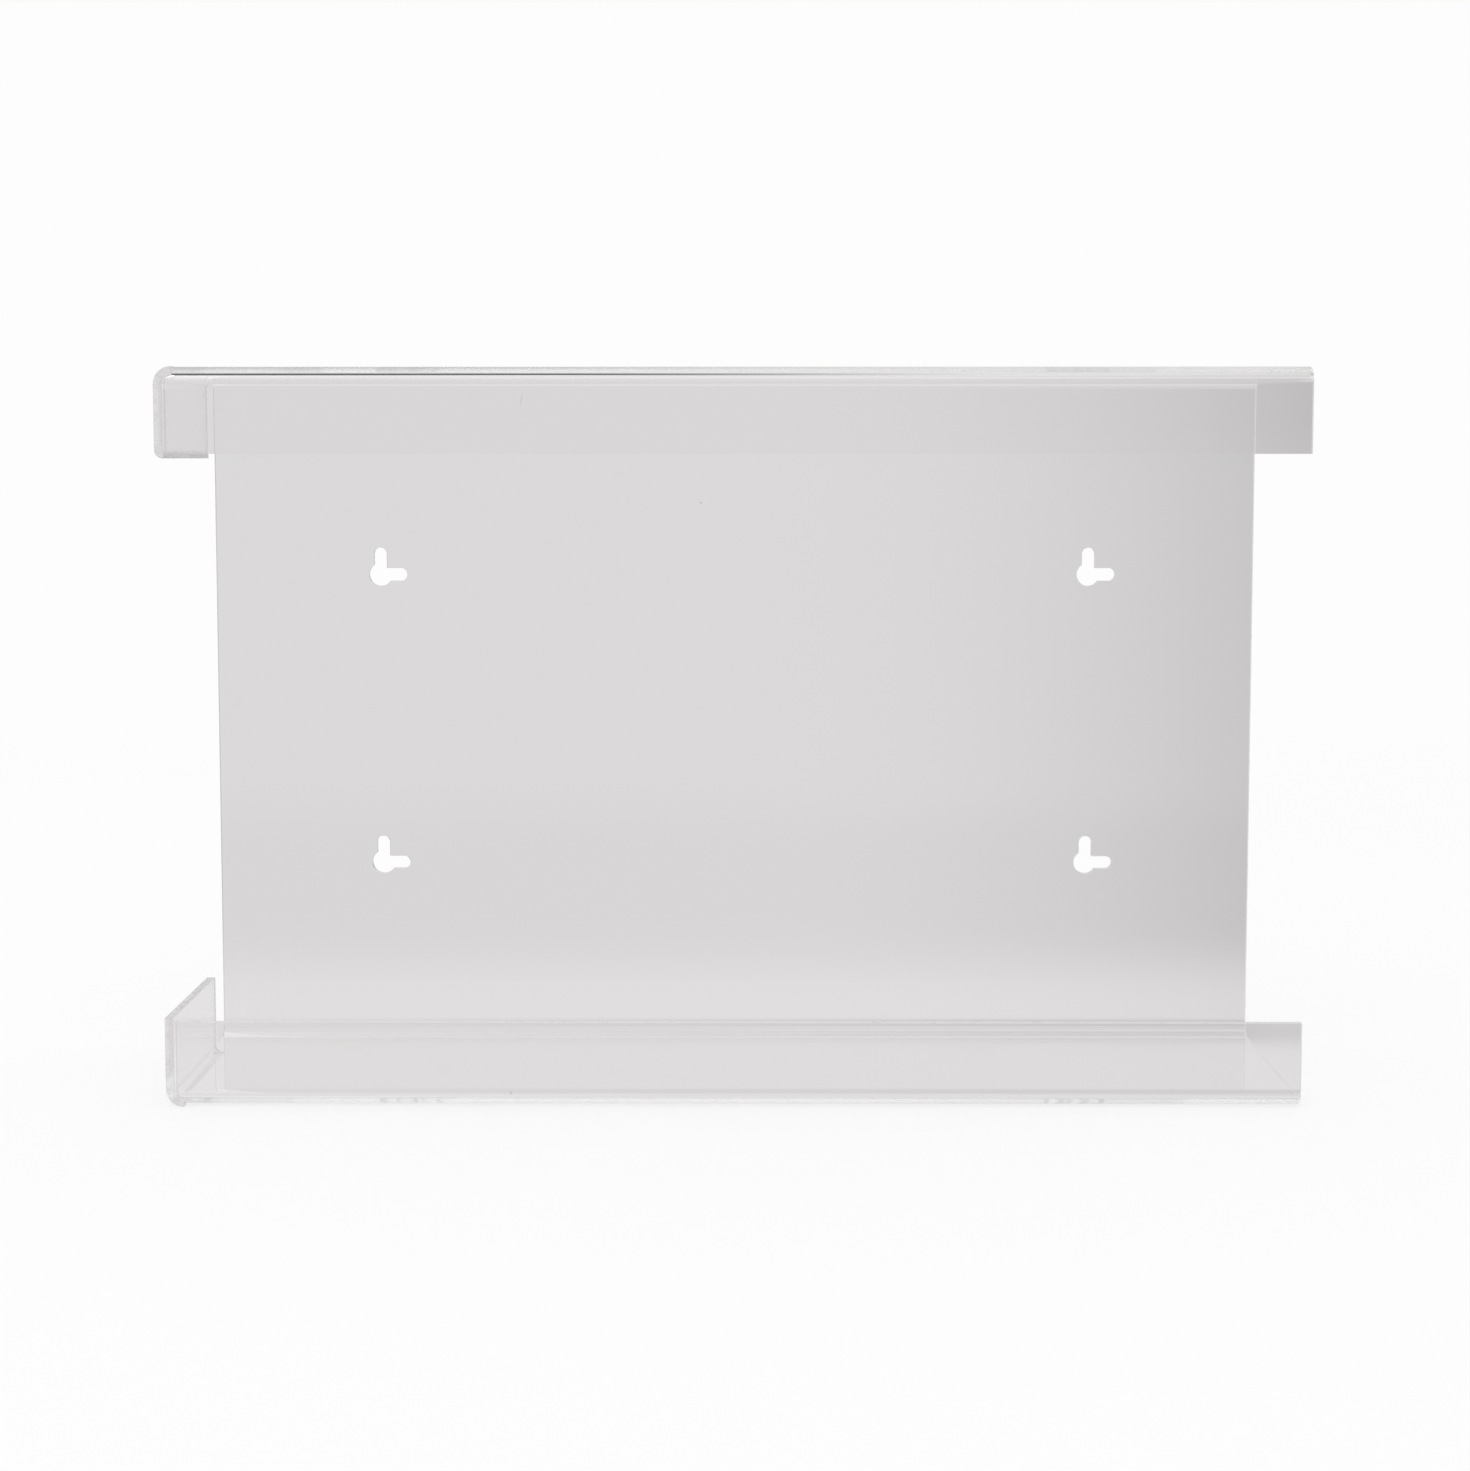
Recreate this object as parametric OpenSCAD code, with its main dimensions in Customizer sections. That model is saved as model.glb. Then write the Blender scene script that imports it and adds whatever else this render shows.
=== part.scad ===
// Wall-mounted dispenser that holds three boxes of disposable gloves side by side.
//
// It is one clear sheet. A flat back panel is folded forward along its top and bottom
// edges into two channels with upright lips, which hold the boxes and leave their faces
// open to reach. At one end each channel has a flap, folded from its flange, that stops
// the boxes. The other end is open to load them. Four keyholes hang it on screws.
//
// Frame: +X towards the open end, +Y into the wall, +Z up. The origin is on the panel's
// rear face, at the middle of the four keyholes.

/* [Dispenser] */
// Width from the closed end to the open end
width = 385; // [325:5:640]
// Height over the two flanges
height = 250; // [200:5:420]
// Depth from the wall to the outside of the lips
depth = 100; // [83:0.5:150]

/* [Sheet] */
// Thickness of the sheet
sheet_t = 3; // [2:0.25:5]
// Inside radius of every fold
fold_r = 3; // [1:0.25:6]

/* [Lips and flaps] */
// Height of each lip, over its fold
lip_h = 29; // [15:0.5:60]
// Height of each flap, over its fold
flap_h = 30.5; // [15:0.5:60]
// Length of the upper flap, from the front
upper_flap_l = 72; // [20:0.5:75]
// Length of the lower flap, from the front
lower_flap_l = 68.5; // [20:0.5:75]
// Width of the saw cuts that free the flaps from the lips and the flanges
kerf = 0.6; // [0.3:0.1:1.5]
// Radius that eases the outer edge of the upper flap
ease_r = 2.8; // [0.5:0.1:3]

/* [Keyholes] */
// Diameter of the round hole that passes a screw's head
head_d = 8.6; // [7:0.1:12]
// Width of the slots that hold a screw's shank
shank_w = 4.8; // [3:0.1:6]
// Distance from the middle of the round hole to the end of each slot
slot_reach = 10; // [8:0.5:16]
// Distance between keyholes along the width
pitch_x = 263; // [100:1:300]
// Distance between keyholes along the height
pitch_z = 108; // [60:1:180]
// How far the middle of the keyholes lies below mid-height
pitch_drop = 2.5; // [0:0.5:10]

/* [Hidden] */

outer_r = fold_r + sheet_t;
left = -width / 2;
base = pitch_drop - height / 2;
over = 1;
$fn = 96;

// A rectangle with one corner at the origin and all four corners rounded.
module rounded_square(size, r) {
    translate([r, 0]) square([size.x - 2 * r, size.y]);
    translate([0, r]) square([size.x, size.y - 2 * r]);
    for (x = [r, size.x - r], y = [r, size.y - r])
        translate([x, y]) circle(r);
}

// Cross-section of panel, flanges and lips, seen along the width: depth runs along x
// from the front, height along y from the base.
module channel_section() {
    difference() {
        rounded_square([depth, height], outer_r);
        translate([sheet_t, sheet_t])
            rounded_square([depth - 2 * sheet_t, height - 2 * sheet_t], fold_r);
        translate([-over, lip_h]) square([sheet_t + 2 * over, height - 2 * lip_h]);
    }
}

// The part of the cross-section between two distances from the front.
module channel_slice(from, to) {
    intersection() {
        channel_section();
        translate([from, -over]) square([to - from, height + 2 * over]);
    }
}

// Runs a cross-section from one distance from the closed end to another.
module along_width(from, to) {
    translate([left + from, -depth, base])
        rotate([90, 0, 90])
            linear_extrude(to - from) children();
}

// Runs a front view back from the lips, over a length of the depth.
module along_depth(length) {
    translate([left, length - depth, base])
        rotate([90, 0, 0])
            linear_extrude(length) children();
}

// Outline of the dispenser seen from the front, with the closed end's folded corners.
module front_outline() {
    rounded_square([width, height], outer_r);
}

// Front view of a lower flap and its fold. An ease rounds the outer edge of its top.
module flap_section(ease) {
    intersection() {
        difference() {
            front_outline();
            translate([sheet_t, sheet_t])
                rounded_square([width - 2 * sheet_t, height - 2 * sheet_t], fold_r);
        }
        union() {
            square([outer_r, flap_h - ease]);
            translate([ease, 0]) square([outer_r - ease, flap_h]);
            if (ease > 0)
                translate([ease, flap_h - ease]) circle(ease);
        }
    }
}

// The lower flap closes the end of the bottom channel.
module lower_flap() {
    along_depth(lower_flap_l) flap_section(0);
}

// The upper flap is the same fold turned over, from the top flange.
module upper_flap() {
    along_depth(upper_flap_l)
        translate([0, height]) mirror([0, 1]) flap_section(ease_r);
}

// Each lip's end runs on to the flap, a saw cut away from its inner face, and its fold
// is trimmed to the folded corner.
module lip_ends() {
    intersection() {
        along_width(sheet_t + kerf, outer_r) channel_slice(0, outer_r);
        along_depth(depth) front_outline();
    }
}

// Behind each flap the flange runs on to the end of the panel.
module flange_ends() {
    along_width(0, outer_r) {
        intersection() {
            channel_slice(lower_flap_l + kerf, depth);
            square([depth, height / 2]);
        }
        intersection() {
            channel_slice(upper_flap_l + kerf, depth);
            translate([0, height / 2]) square([depth, height / 2]);
        }
    }
}

// A keyhole: a round hole for the head, with slots for the shank upwards and towards
// the open end, so that the dispenser hangs level or on its closed end.
module keyhole() {
    translate([0, over, 0]) rotate([90, 0, 0]) {
        cylinder(d = head_d, h = sheet_t + 2 * over);
        for (turn = [0, 90])
            rotate([0, 0, turn]) {
                translate([0, -shank_w / 2, 0])
                    cube([slot_reach - shank_w / 2, shank_w, sheet_t + 2 * over]);
                translate([slot_reach - shank_w / 2, 0, 0])
                    cylinder(d = shank_w, h = sheet_t + 2 * over);
            }
    }
}

module folded_sheet() {
    color([0.86, 0.88, 0.88, 0.45])
        difference() {
            union() {
                along_width(outer_r, width) channel_section();
                flange_ends();
                lip_ends();
                lower_flap();
                upper_flap();
            }
            for (x = [-pitch_x / 2, pitch_x / 2], z = [-pitch_z / 2, pitch_z / 2])
                translate([x, 0, z]) keyhole();
        }
}

folded_sheet();
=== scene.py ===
"""Looks of the disposable glove dispenser: one clear acrylic sheet, sawn and folded, in a pale studio."""

import math

import bmesh
import bpy
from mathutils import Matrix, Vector


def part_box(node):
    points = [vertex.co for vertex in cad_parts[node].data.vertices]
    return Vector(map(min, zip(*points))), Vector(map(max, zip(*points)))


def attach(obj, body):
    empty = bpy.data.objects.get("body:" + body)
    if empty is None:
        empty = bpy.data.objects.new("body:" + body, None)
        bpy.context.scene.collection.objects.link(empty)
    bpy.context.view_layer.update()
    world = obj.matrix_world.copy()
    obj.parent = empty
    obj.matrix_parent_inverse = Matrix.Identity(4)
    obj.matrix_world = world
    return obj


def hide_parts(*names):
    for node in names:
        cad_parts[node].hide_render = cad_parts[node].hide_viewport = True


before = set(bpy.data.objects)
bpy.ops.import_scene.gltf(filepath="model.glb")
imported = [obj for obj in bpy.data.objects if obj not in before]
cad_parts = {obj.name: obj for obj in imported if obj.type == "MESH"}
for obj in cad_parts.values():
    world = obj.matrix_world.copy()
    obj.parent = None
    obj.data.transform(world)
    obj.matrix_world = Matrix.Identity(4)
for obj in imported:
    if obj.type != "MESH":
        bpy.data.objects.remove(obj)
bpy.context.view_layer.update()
MM = 0.001

# ---- Sizes of the sheet, in metres ----
SHEET_T = 3 * MM
FOLD_IN = 3 * MM
FOLD_OUT = FOLD_IN + SHEET_T
LIP_H = 29 * MM
FLAP_H = 30.5 * MM
UPPER_FLAP_L = 72 * MM
LOWER_FLAP_L = 68.5 * MM
KERF = 0.6 * MM
EASE = 2.8 * MM
HEAD_R = 4.3 * MM
SHANK_R = 2.4 * MM
SLOT_REACH = 10 * MM
PITCH_X = 263 * MM
PITCH_Z = 108 * MM
EDGE_R = 0.12 * MM
EDGE_ANGLE = math.radians(40)
QUARTER_STEPS = 20
OVER = 1 * MM

LOW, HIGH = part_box("folded_sheet")
CLOSED, OPEN = LOW.x, HIGH.x
FRONT, BACK = LOW.y, HIGH.y
BASE, TOP = LOW.z, HIGH.z
MIDDLE = (LOW + HIGH) / 2


# ---- Camera ----
CAMERA_AT = (4.4 * MM, -949.8 * MM, 97.0 * MM)
LENS, SENSOR = 62.43, 36
SHIFT_UP = -0.0445
LOOKS_DOWN = 4.747
TURNED = 0.249


def link(name, data):
    made = bpy.data.objects.new(name, data)
    bpy.context.scene.collection.objects.link(made)
    return made


def make_camera():
    data = bpy.data.cameras.new("camera")
    data.sensor_fit = "HORIZONTAL"
    data.sensor_width = SENSOR
    data.lens = LENS
    data.shift_y = SHIFT_UP
    camera = link("camera", data)
    camera.location = CAMERA_AT
    camera.rotation_euler = (math.radians(90 - LOOKS_DOWN), 0, math.radians(TURNED))
    bpy.context.scene.camera = camera


# ---- Node helpers ----
class Nodes:
    """Makes nodes in a tree. An input is given as a value, or as a socket to link."""

    def __init__(self, tree):
        self.tree = tree
        tree.nodes.clear()

    def add(self, kind, settings=None, **inputs):
        """A node with its settings and its named inputs, where _ in a name stands for a space."""
        node = self.tree.nodes.new(kind)
        for name, value in (settings or {}).items():
            setattr(node, name, value)
        for name, value in inputs.items():
            self.join(node.inputs[name.replace("_", " ")], value)
        return node

    def join(self, socket, value):
        if isinstance(value, bpy.types.NodeSocket):
            self.tree.links.new(value, socket)
        else:
            socket.default_value = value

    def join_all(self, sockets, values):
        for socket, value in zip(sockets, values):
            self.join(socket, value)

    def math(self, operation, *values):
        node = self.add("ShaderNodeMath", {"operation": operation})
        self.join_all(node.inputs, values)
        return node.outputs[0]

    def product(self, first, *others):
        for other in others:
            first = self.math("MULTIPLY", first, other)
        return first

    def darker(self, value, share):
        """The value less a share of it."""
        return self.math("MULTIPLY", value, self.math("SUBTRACT", 1.0, share))

    def vector(self, operation, *values, **inputs):
        node = self.add("ShaderNodeVectorMath", {"operation": operation}, **inputs)
        self.join_all(node.inputs, values)
        return node.outputs["Value" if operation == "LENGTH" else "Vector"]

    def step(self, value, edge, low, high, shape="SMOOTHERSTEP"):
        """Goes from low to high as value goes from one end of the edge to the other."""
        node = self.add("ShaderNodeMapRange", {"interpolation_type": shape})
        self.join_all(node.inputs, (value, *edge, low, high))
        return node.outputs["Result"]

    def window(self, value, opens, closes):
        """1 from the edge where it opens to the edge where it closes, and 0 outside them."""
        return self.product(self.step(value, opens, 0.0, 1.0), self.step(value, closes, 1.0, 0.0))

    def mix(self, share, first, second):
        node = self.add("ShaderNodeMix", {"data_type": "FLOAT"})
        self.join_all((node.inputs[0], node.inputs[2], node.inputs[3]), (share, first, second))
        return node.outputs[0]

    def mix_colours(self, share, first, second):
        node = self.add("ShaderNodeMix", {"data_type": "RGBA"})
        self.join_all((node.inputs[0], node.inputs[6], node.inputs[7]), (share, first, second))
        return node.outputs[2]

    def mix_shaders(self, share, first, second):
        node = self.add("ShaderNodeMixShader")
        self.join_all(node.inputs, (share, first, second))
        return node.outputs[0]


# ---- Clear sheet material ----
TINT = (0.978, 0.975, 0.974)
# Small dark marks: middle, half size, and the share of light that each one stops. The dots and the short
# line are marks of use; the tick only darkens the sheet where a saw cut ends.
MARKS = [
    # Dot on the panel.
    ((-12.3 * MM, BACK - SHEET_T, 80.6 * MM), (0.55 * MM, 0.5 * MM, 0.55 * MM), 0.35),
    # Short line on the upper lip, in two halves because it leans.
    ((-70.0 * MM, FRONT, 117.0 * MM), (0.4 * MM, 0.5 * MM, 1.0 * MM), 0.2),
    ((-70.4 * MM, FRONT, 115.8 * MM), (0.4 * MM, 0.5 * MM, 1.2 * MM), 0.2),
    # Dot on the fold of the lower lip.
    ((-75.3 * MM, FRONT, -117.7 * MM), (0.8 * MM, 1.0 * MM, 0.8 * MM), 0.25),
    # Tick where the saw cut behind the upper flap ends.
    ((CLOSED + SHEET_T, -33.5 * MM, 119.7 * MM), (0.6 * MM, 2.0 * MM, 1.9 * MM), 0.25),
]
MARK_EDGE = (0.3, 1.2)
SMUDGE_EDGE = (0.4, 0.75)
WAVE_SCALE = 9
WAVE_H, WAVE_STRENGTH = 0.04 * MM, 0.2
BENDING = 1.49
MASS_COLOUR, MASS_DENSITY = (0.4, 0.55, 0.5, 1), 0.1


def marked_tint(n, place):
    """The sheet's tint, darker at its few marks."""
    tint = n.add("ShaderNodeCombineXYZ", X=TINT[0], Y=TINT[1], Z=TINT[2]).outputs["Vector"]
    for middle, half_size, stopped in MARKS:
        offset = n.vector("DIVIDE", n.vector("SUBTRACT", place, middle), half_size)
        clean = n.step(n.vector("LENGTH", offset), MARK_EDGE, 1 - stopped, 1.0)
        tint = n.vector("SCALE", tint, Scale=clean)
    return tint


def acrylic(name, clean_rough, smudged_rough, smudge_scale):
    material = bpy.data.materials.new(name)
    material.use_nodes = True
    n = Nodes(material.node_tree)
    place = n.add("ShaderNodeTexCoord").outputs["Object"]
    smudge = n.add("ShaderNodeTexNoise", Vector=place, Scale=smudge_scale, Detail=2, Roughness=0.5)
    rough = n.step(smudge.outputs["Fac"], SMUDGE_EDGE, clean_rough, smudged_rough)
    wave = n.add("ShaderNodeTexNoise", Vector=place, Scale=WAVE_SCALE, Detail=1).outputs["Fac"]
    bump = n.add("ShaderNodeBump", Strength=WAVE_STRENGTH, Distance=WAVE_H, Height=wave)
    surface = n.add(
        "ShaderNodeBsdfPrincipled",
        Base_Color=marked_tint(n, place),
        Roughness=rough,
        Normal=bump.outputs["Normal"],
        Transmission_Weight=1,
        IOR=BENDING,
    )
    mass = n.add("ShaderNodeVolumeAbsorption", Color=MASS_COLOUR, Density=MASS_DENSITY)
    n.add("ShaderNodeOutputMaterial", Surface=surface.outputs[0], Volume=mass.outputs[0])
    return material


SHEET_MATERIALS = [acrylic("clear_acrylic", 0.0, 0.03, 22), acrylic("sawn_edge", 0.12, 0.3, 400)]


# ---- Outlines and solids ----
def arc(centre, radius, start, end, cut=False, steps=QUARTER_STEPS):
    """Corners along an arc, with start and end in degrees.

    A corner is (u, v, cut), and cut says that a sawn edge runs from it to the next corner."""
    turns = [math.radians(start + (end - start) * i / steps) for i in range(steps + 1)]
    return [(centre[0] + radius * math.cos(a), centre[1] + radius * math.sin(a), cut) for a in turns]


def folded_outline(path, ease=0):
    """Outline of the sheet folded along a path of square corners, which all turn clockwise.

    The path is the sheet's outer side. An ease rounds the outer edge where the path starts."""
    path = [Vector(p) for p in path]
    outer, inner = [], []
    for before, here, after in zip(path, path[1:], path[2:]):
        come, go = (here - before).normalized(), (after - here).normalized()
        centre = here - FOLD_OUT * come + FOLD_OUT * go
        start = math.degrees(math.atan2(-go.y, -go.x))
        outer += arc(centre, FOLD_OUT, start, start - 90)
        inner += arc(centre, FOLD_IN, start, start - 90)
    first, last = (path[1] - path[0]).normalized(), (path[-1] - path[-2]).normalized()
    inward = [SHEET_T * Vector((d.y, -d.x)) for d in (first, last)]
    begin = [(*path[0], False)]
    if ease:
        centre = path[0] + ease * first + ease * inward[0].normalized()
        side = math.degrees(math.atan2(-inward[0].y, -inward[0].x))
        begin = arc(centre, ease, side + 90, side, True)
        begin[-1] = (*begin[-1][:2], False)
    end = [(*path[-1], True), (*(path[-1] + inward[1]), False)]
    return [*begin, *outer, *end, *reversed(inner), (*(path[0] + inward[0]), True)]


def rounded_rectangle(low, high, radius):
    corners = [(high[0], high[1], 0), (low[0], high[1], 90), (low[0], low[1], 180), (high[0], low[1], 270)]
    loop = []
    for x, y, start in corners:
        centre = (x - math.copysign(radius, x - (low[0] + high[0]) / 2),
                  y - math.copysign(radius, y - (low[1] + high[1]) / 2))
        loop += arc(centre, radius, start, start + 90, True)
    return loop


def prism(outline, place, near, far):
    """A closed solid: the outline run from near to far. place turns (u, v, distance) into a point."""
    mesh = bmesh.new()
    rings = [[mesh.verts.new(place(u, v, d)) for u, v, _ in outline] for d in (near, far)]
    count = len(outline)
    for i in range(count):
        after = (i + 1) % count
        side = mesh.faces.new((rings[0][i], rings[0][after], rings[1][after], rings[1][i]))
        side.material_index = outline[i][2]
    for ring in rings:
        mesh.faces.new(ring).material_index = True
    bmesh.ops.recalc_face_normals(mesh, faces=mesh.faces)
    data = bpy.data.meshes.new("solid")
    for material in SHEET_MATERIALS:
        data.materials.append(material)
    mesh.to_mesh(data)
    mesh.free()
    return link("solid", data)


def along_width(outline, near, far):
    return prism(outline, lambda y, z, x: (x, y, z), near, far)


def along_depth(outline, near, far):
    return prism(outline, lambda x, z, y: (x, y, z), near, far)


def settled(piece):
    """Replaces a piece's mesh by what its modifiers make of it."""
    graph = bpy.context.evaluated_depsgraph_get()
    data = bpy.data.meshes.new_from_object(piece.evaluated_get(graph))
    piece.modifiers.clear()
    piece.data = data
    return piece


def combined(piece, operation, others):
    for other in others:
        cut = piece.modifiers.new("cut", "BOOLEAN")
        cut.operation, cut.solver, cut.object = operation, "EXACT", other
    settled(piece)
    for other in others:
        bpy.data.objects.remove(other)
    return piece


# ---- The folded sheet ----
def channels():
    """The panel with both flanges and their lips, but for the closed end's last stretch."""
    path = [
        (FRONT, TOP - LIP_H), (FRONT, TOP), (BACK, TOP),
        (BACK, BASE), (FRONT, BASE), (FRONT, BASE + LIP_H),
    ]
    return along_width(folded_outline(path), CLOSED + FOLD_OUT, OPEN)


def rear_end():
    """The flanges and the panel behind the flaps."""
    upper, lower = (FRONT + length + KERF for length in (UPPER_FLAP_L, LOWER_FLAP_L))
    path = [(upper, TOP), (BACK, TOP), (BACK, BASE), (lower, BASE)]
    return along_width(folded_outline(path), CLOSED, CLOSED + FOLD_OUT)


def lip_ends():
    """The lips' ends, a saw cut away from the flaps, with their folds trimmed to the rounded corners."""
    behind = FRONT + FOLD_OUT
    paths = [
        [(FRONT, TOP - LIP_H), (FRONT, TOP), (behind, TOP)],
        [(behind, BASE), (FRONT, BASE), (FRONT, BASE + LIP_H)],
    ]
    front_view = rounded_rectangle((CLOSED, BASE), (OPEN, TOP), FOLD_OUT)
    made = []
    for path in paths:
        end = along_width(folded_outline(path), CLOSED + SHEET_T + KERF, CLOSED + FOLD_OUT)
        made.append(combined(end, "INTERSECT", [along_depth(front_view, FRONT - OVER, BACK + OVER)]))
    return made


def flaps():
    seam = CLOSED + FOLD_OUT
    upper = folded_outline([(CLOSED, TOP - FLAP_H), (CLOSED, TOP), (seam, TOP)], EASE)
    lower = folded_outline([(seam, BASE), (CLOSED, BASE), (CLOSED, BASE + FLAP_H)])
    return [along_depth(upper, FRONT, FRONT + UPPER_FLAP_L), along_depth(lower, FRONT, FRONT + LOWER_FLAP_L)]


def keyhole(x, z):
    """A round hole for a screw's head, with slots for its shank upwards and towards the open end."""
    slot = SLOT_REACH - SHANK_R
    meet = math.degrees(math.asin(SHANK_R / HEAD_R))
    outline = arc((x, z), HEAD_R, 90 + meet, 360 - meet, True, 3 * QUARTER_STEPS)
    outline += arc((x + slot, z), SHANK_R, -90, 90, True)
    outline += [(x + SHANK_R, z + SHANK_R, True)]
    outline += arc((x, z + slot), SHANK_R, 0, 180, True)
    return along_depth(outline, BACK - SHEET_T - OVER, BACK + OVER)


def keyholes():
    return [keyhole(x, z) for x in (-PITCH_X / 2, PITCH_X / 2) for z in (-PITCH_Z / 2, PITCH_Z / 2)]


def soften_edges(piece):
    """Eases the sawn edges a little, and shades folds smooth and faces flat."""
    for face in piece.data.polygons:
        face.use_smooth = True
    bevel = piece.modifiers.new("eased_edges", "BEVEL")
    bevel.width, bevel.segments = EDGE_R, 2
    bevel.limit_method, bevel.angle_limit = "ANGLE", EDGE_ANGLE
    bevel.material = 1
    bevel.use_clamp_overlap = True
    flats = piece.modifiers.new("true_flats", "WEIGHTED_NORMAL")
    flats.mode, flats.weight = "FACE_AREA", 100
    return settled(piece)


def folded_sheet():
    sheet = combined(channels(), "UNION", [rear_end(), *lip_ends(), *flaps()])
    combined(sheet, "DIFFERENCE", keyholes())
    soften_edges(sheet)
    sheet.name = sheet.data.name = "clear_sheet_piece"
    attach(sheet, "root")
    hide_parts("folded_sheet")
    return sheet


# ---- The studio that the clear sheet shows, by direction ----
# Tones are shares of the plain backdrop. An edge is where a step begins and ends: in x, y or z of the
# direction, in its slopes (across is x over y, rise is z over y, fall is the opposite of rise), or in
# how often the light has turned in the sheet.
BACKDROP = 0.734
AHEAD_EDGE, LEAST_AHEAD = (0.0, 0.2), 0.05
REAR_EDGE, REAR_TONE = (-0.98, -0.85), 0.8
# The table is paler than the backdrop, which darkens a little just above it.
TABLE_EDGE, TABLE_GAIN = (0.18, 0.22), 0.09
FOOT_EDGE, FOOT_LOSS = (0.122, 0.158), 0.038
# The backdrop darkens to the right, by a power of x: more above the middle, and less high up.
SIDE_X, SIDE_POWER = 0.24, 2.1
SIDE_END, SIDE_LOSS = (0.26, 0.34), 5.6
SIDE_UP_EDGE, SIDE_UP_SHARE = (-0.01, 0.02), 1.2
SIDE_TOP_EDGE, SIDE_TOP_SHARE = (0.05, 0.12), 0.3
# The table is sheltered from that, and more so near the sheet.
TABLE_SHELTER = 0.65
NEAR_EDGE, NEAR_SHELTER = (0.228, 0.24), 0.35
# Pale patches at the left and above.
LEFT_OPENS, LEFT_CLOSES, LEFT_GAIN = (-0.36, -0.26), (-0.2125, -0.2105), 0.15
ABOVE_OPENS, ABOVE_GAIN = (0.19, 0.22), 0.21
ABOVE_CLOSES, ABOVE_REST = (0.25, 0.28), 0.28
# The dark seam across the table and the dark stretch before it, which both fade out to the left.
SEAM_OPENS, SEAM_CLOSES = (0.2215, 0.2235), (0.2275, 0.235)
SEAM_EDGE, SEAM_SHARE = (0.19, 0.215), 0.6
UNDER_OPENS, UNDER_CLOSES = (0.26, 0.29), (0.4, 0.7)
TABLE_SHADE_EDGE, TABLE_SHADE = (-0.28, 0.1), 0.19
# The dark strip overhead, weaker in the sheet's first reflection and lost after some turns.
STRIP_OPENS, STRIP_CLOSES, STRIP_SHADE = (0.45, 0.5), (0.9, 0.95), 0.95
STRIP_LEFT, STRIP_RIGHT = (-0.35, -0.25), (-0.1, 0.14)
FIRST_TURN, FIRST_SHARE = (1.2, 1.8), 0.3
STRIP_TURNS = (4.2, 5.8)
# Light that has turned many times in the sheet has one even tone.
GUIDED_TURNS, GUIDED_TONE, GUIDED_SIDE = (4.5, 8.5), 1.0, -0.2


def side_loss(n, x, rise, fall, table):
    """How much darker the studio is to the right."""
    shelter = n.math("MULTIPLY_ADD", table, TABLE_SHELTER, n.step(fall, NEAR_EDGE, 0.0, NEAR_SHELTER))
    loss = n.product(
        n.math("POWER", n.math("MINIMUM", n.math("MAXIMUM", x, 0.0), SIDE_X), SIDE_POWER),
        n.step(x, SIDE_END, SIDE_LOSS, 0.0),
        n.step(rise, SIDE_UP_EDGE, 1.0, SIDE_UP_SHARE),
        n.step(rise, SIDE_TOP_EDGE, 1.0, SIDE_TOP_SHARE),
    )
    return n.darker(loss, shelter)


def table_shade(n, x, across, fall):
    """The share that the dark seam and the dark stretch of the table take off."""
    seam = n.product(n.window(fall, SEAM_OPENS, SEAM_CLOSES), n.step(across, SEAM_EDGE, 1.0, SEAM_SHARE))
    under = n.window(fall, UNDER_OPENS, UNDER_CLOSES)
    return n.product(n.math("ADD", seam, under), n.step(x, TABLE_SHADE_EDGE, 0.0, TABLE_SHADE, "LINEAR"))


def strip_shade(n, x, z, ahead, turns):
    """The share that the dark strip overhead takes off. It gives the dark line along the top edge."""
    return n.product(
        n.window(z, STRIP_OPENS, STRIP_CLOSES),
        n.product(ahead, STRIP_SHADE),
        n.window(x, STRIP_LEFT, STRIP_RIGHT),
        n.step(turns, FIRST_TURN, FIRST_SHARE, 1.0),
        n.step(turns, STRIP_TURNS, 1.0, 0.0),
    )


def studio_tone(n, turns):
    """Tone of the studio by direction, and by how often the light has turned in the sheet."""
    towards = n.add("ShaderNodeTexCoord").outputs["Generated"]
    x, y, z = n.add("ShaderNodeSeparateXYZ", Vector=towards).outputs
    ahead = n.step(y, AHEAD_EDGE, 0.0, 1.0)
    depth = n.math("MAXIMUM", y, LEAST_AHEAD)
    across = n.math("DIVIDE", x, depth)
    rise = n.product(n.math("DIVIDE", z, depth), ahead)
    fall = n.product(rise, -1.0)
    table = n.step(fall, TABLE_EDGE, 0.0, 1.0)
    side = side_loss(n, x, rise, fall, table)
    left = n.product(n.window(across, LEFT_OPENS, LEFT_CLOSES), ahead, LEFT_GAIN)
    above = n.product(n.step(z, ABOVE_OPENS, 0.0, ABOVE_GAIN), n.step(z, ABOVE_CLOSES, 1.0, ABOVE_REST))

    tone = n.math("SUBTRACT", 1.0, side)
    tone = n.math("SUBTRACT", tone, n.step(fall, FOOT_EDGE, 0.0, FOOT_LOSS))
    tone = n.math("MULTIPLY_ADD", table, TABLE_GAIN, tone)
    tone = n.math("ADD", tone, left)
    tone = n.math("ADD", tone, above)
    tone = n.product(tone, n.step(y, REAR_EDGE, REAR_TONE, 1.0))
    tone = n.darker(tone, table_shade(n, x, across, fall))
    tone = n.darker(tone, strip_shade(n, x, z, ahead, turns))
    guided = n.math("MULTIPLY_ADD", side, GUIDED_SIDE, GUIDED_TONE)
    tone = n.mix(n.step(turns, GUIDED_TURNS, 0.0, 1.0, "LINEAR"), tone, guided)
    return n.product(tone, BACKDROP)


# ---- World, floor and lamp ----
WHITE = 0.982
ON_FLOOR = 0.9
PLAIN = (1, 1, 1, 1)
WARM = (1, 0.985, 0.986, 1)
FLOOR_GLOW = 0.8
FLOOR_EDGE = (0.5, 1.6)
FLOOR_R, FLOOR_SIDES = 1.76, 96
FLOOR_GAP = 0.3 * MM
LAMP_FROM = Vector((-0.3, -0.5, 1.6))
LAMP_SIZE, LAMP_POWER = (1.6, 1.2), 5.4
MOST_TURNS = 400


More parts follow.
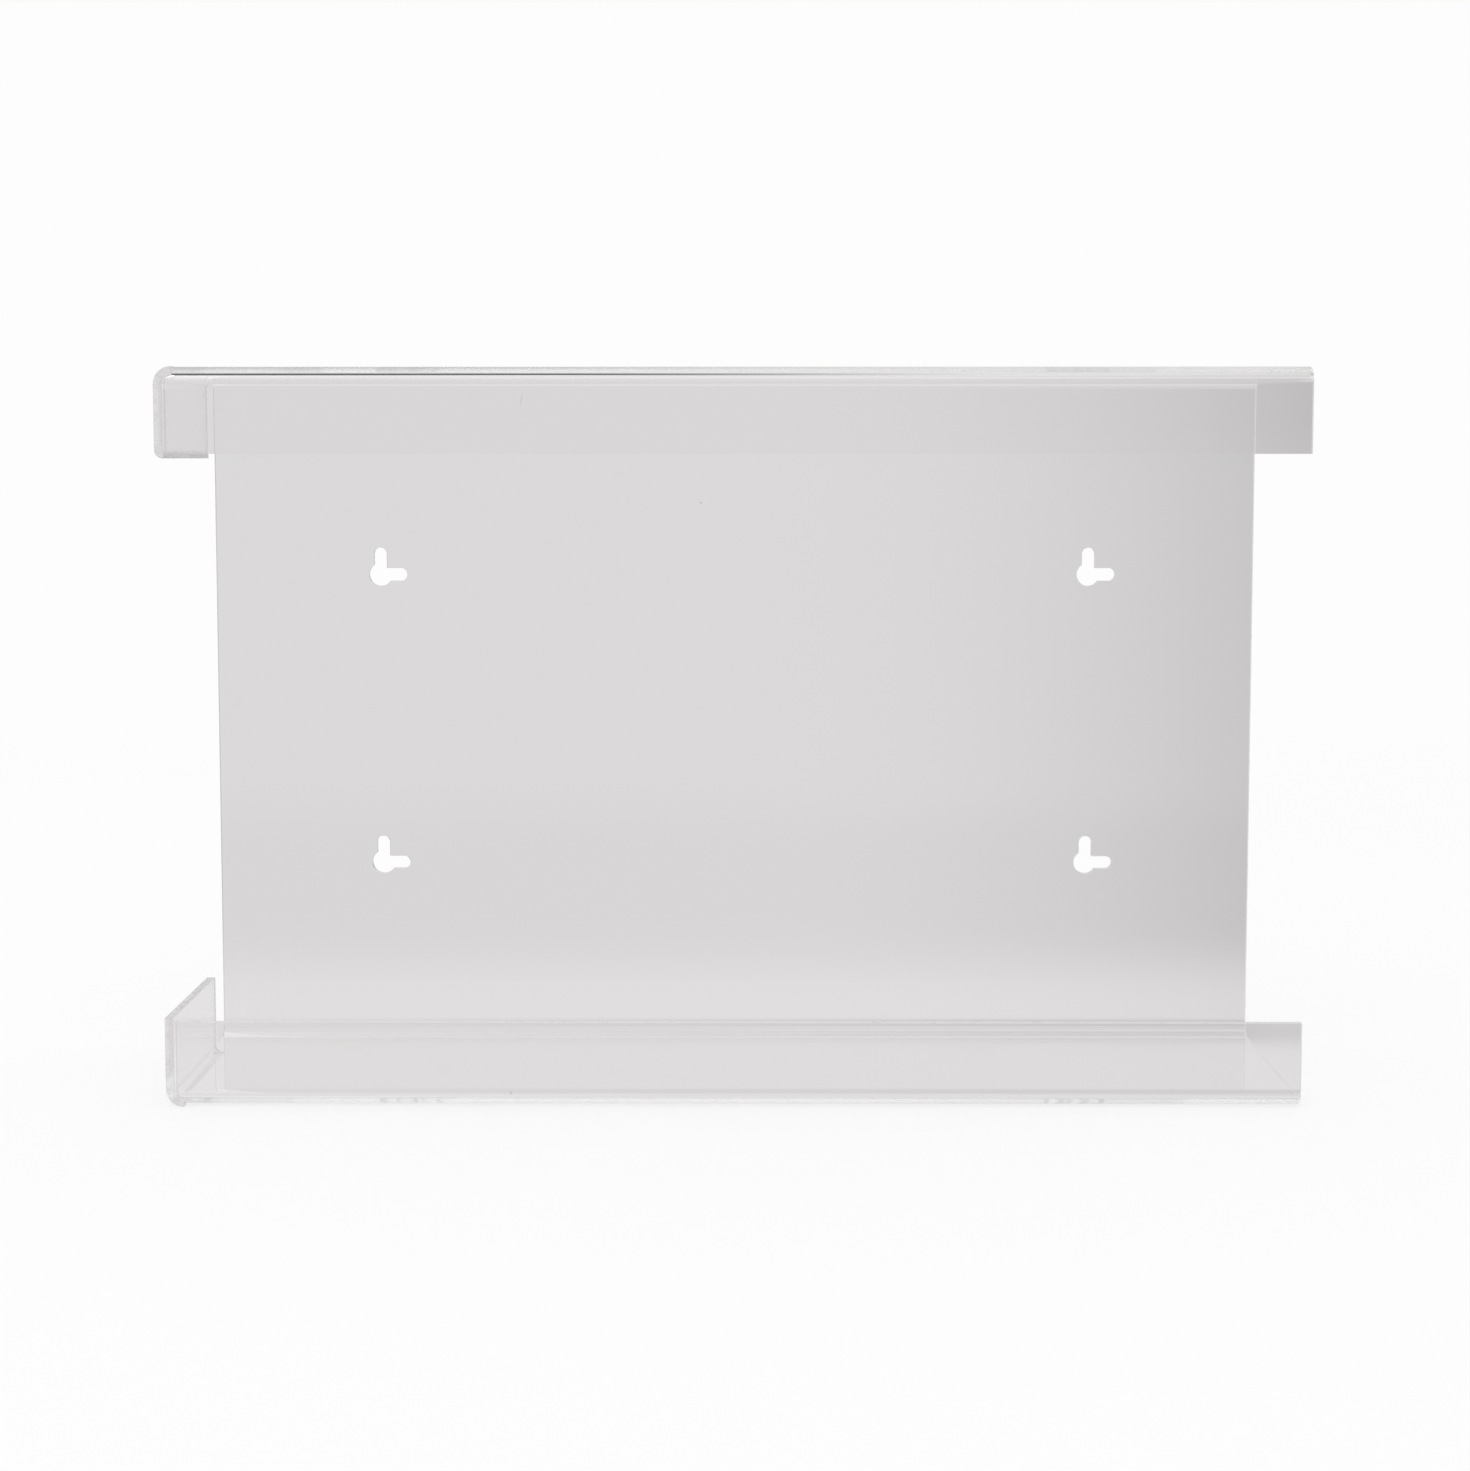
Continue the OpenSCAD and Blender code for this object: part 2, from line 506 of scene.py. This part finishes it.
def ray_kinds(n):
    """1 on camera rays, 1 on rays that the sheet reflects or lets through, and the ray's turns so far."""
    path = n.add("ShaderNodeLightPath")
    by_sheet = n.math("MAXIMUM", path.outputs["Is Glossy Ray"], path.outputs["Is Transmission Ray"])
    by_sheet = n.product(by_sheet, n.math("LESS_THAN", path.outputs["Diffuse Depth"], 0.5))
    return path.outputs["Is Camera Ray"], by_sheet, path.outputs["Ray Depth"]


def make_world():
    """White to the camera, even light for the floor, and the studio in the clear sheet."""
    world = bpy.data.worlds.new("studio")
    world.use_nodes = True
    bpy.context.scene.world = world
    n = Nodes(world.node_tree)
    camera, by_sheet, turns = ray_kinds(n)
    strength = n.mix(camera, n.mix(by_sheet, ON_FLOOR, studio_tone(n, turns)), WHITE)
    light = n.add("ShaderNodeBackground", Strength=strength, Color=n.mix_colours(by_sheet, PLAIN, WARM))
    n.add("ShaderNodeOutputWorld", Surface=light.outputs[0])


def white_floor():
    """White paint that glows a little to the camera, fades into the backdrop and isn't seen in the sheet."""
    material = bpy.data.materials.new("white_floor")
    material.use_nodes = True
    n = Nodes(material.node_tree)
    place = n.add("ShaderNodeTexCoord").outputs["Object"]
    fade = n.step(n.vector("LENGTH", place), FLOOR_EDGE, 1.0, 0.0)
    camera, by_sheet, _ = ray_kinds(n)
    paint = n.add("ShaderNodeBsdfDiffuse", Color=(WHITE, WHITE, WHITE, 1)).outputs[0]
    glow = n.add("ShaderNodeEmission", Strength=WHITE).outputs[0]
    ground = n.mix_shaders(n.product(camera, FLOOR_GLOW), paint, glow)
    clear = n.add("ShaderNodeBsdfTransparent").outputs[0]
    mixed = n.mix_shaders(n.darker(fade, by_sheet), clear, ground)
    n.add("ShaderNodeOutputMaterial", Surface=mixed)
    return material


def make_floor():
    mesh = bmesh.new()
    bmesh.ops.create_circle(mesh, cap_ends=True, radius=FLOOR_R, segments=FLOOR_SIDES)
    data = bpy.data.meshes.new("floor")
    mesh.to_mesh(data)
    mesh.free()
    data.materials.append(white_floor())
    floor = link("floor", data)
    floor.location = (MIDDLE.x, MIDDLE.y, BASE - FLOOR_GAP)


def make_softbox():
    data = bpy.data.lights.new("softbox_above", "AREA")
    data.shape = "RECTANGLE"
    data.size, data.size_y = LAMP_SIZE
    data.energy = LAMP_POWER
    lamp = link("softbox_above", data)
    lamp.location = MIDDLE + LAMP_FROM
    lamp.rotation_euler = (-LAMP_FROM).to_track_quat("-Z", "Y").to_euler()


def set_ray_limits():
    """Light can turn many times inside a clear sheet."""
    cycles = bpy.context.scene.cycles
    cycles.max_bounces = MOST_TURNS
    cycles.glossy_bounces = MOST_TURNS
    cycles.transmission_bounces = MOST_TURNS
    cycles.use_denoising = True


make_camera()
bpy.context.scene.view_settings.view_transform = "Standard"
set_ray_limits()
folded_sheet()
make_world()
make_floor()
make_softbox()
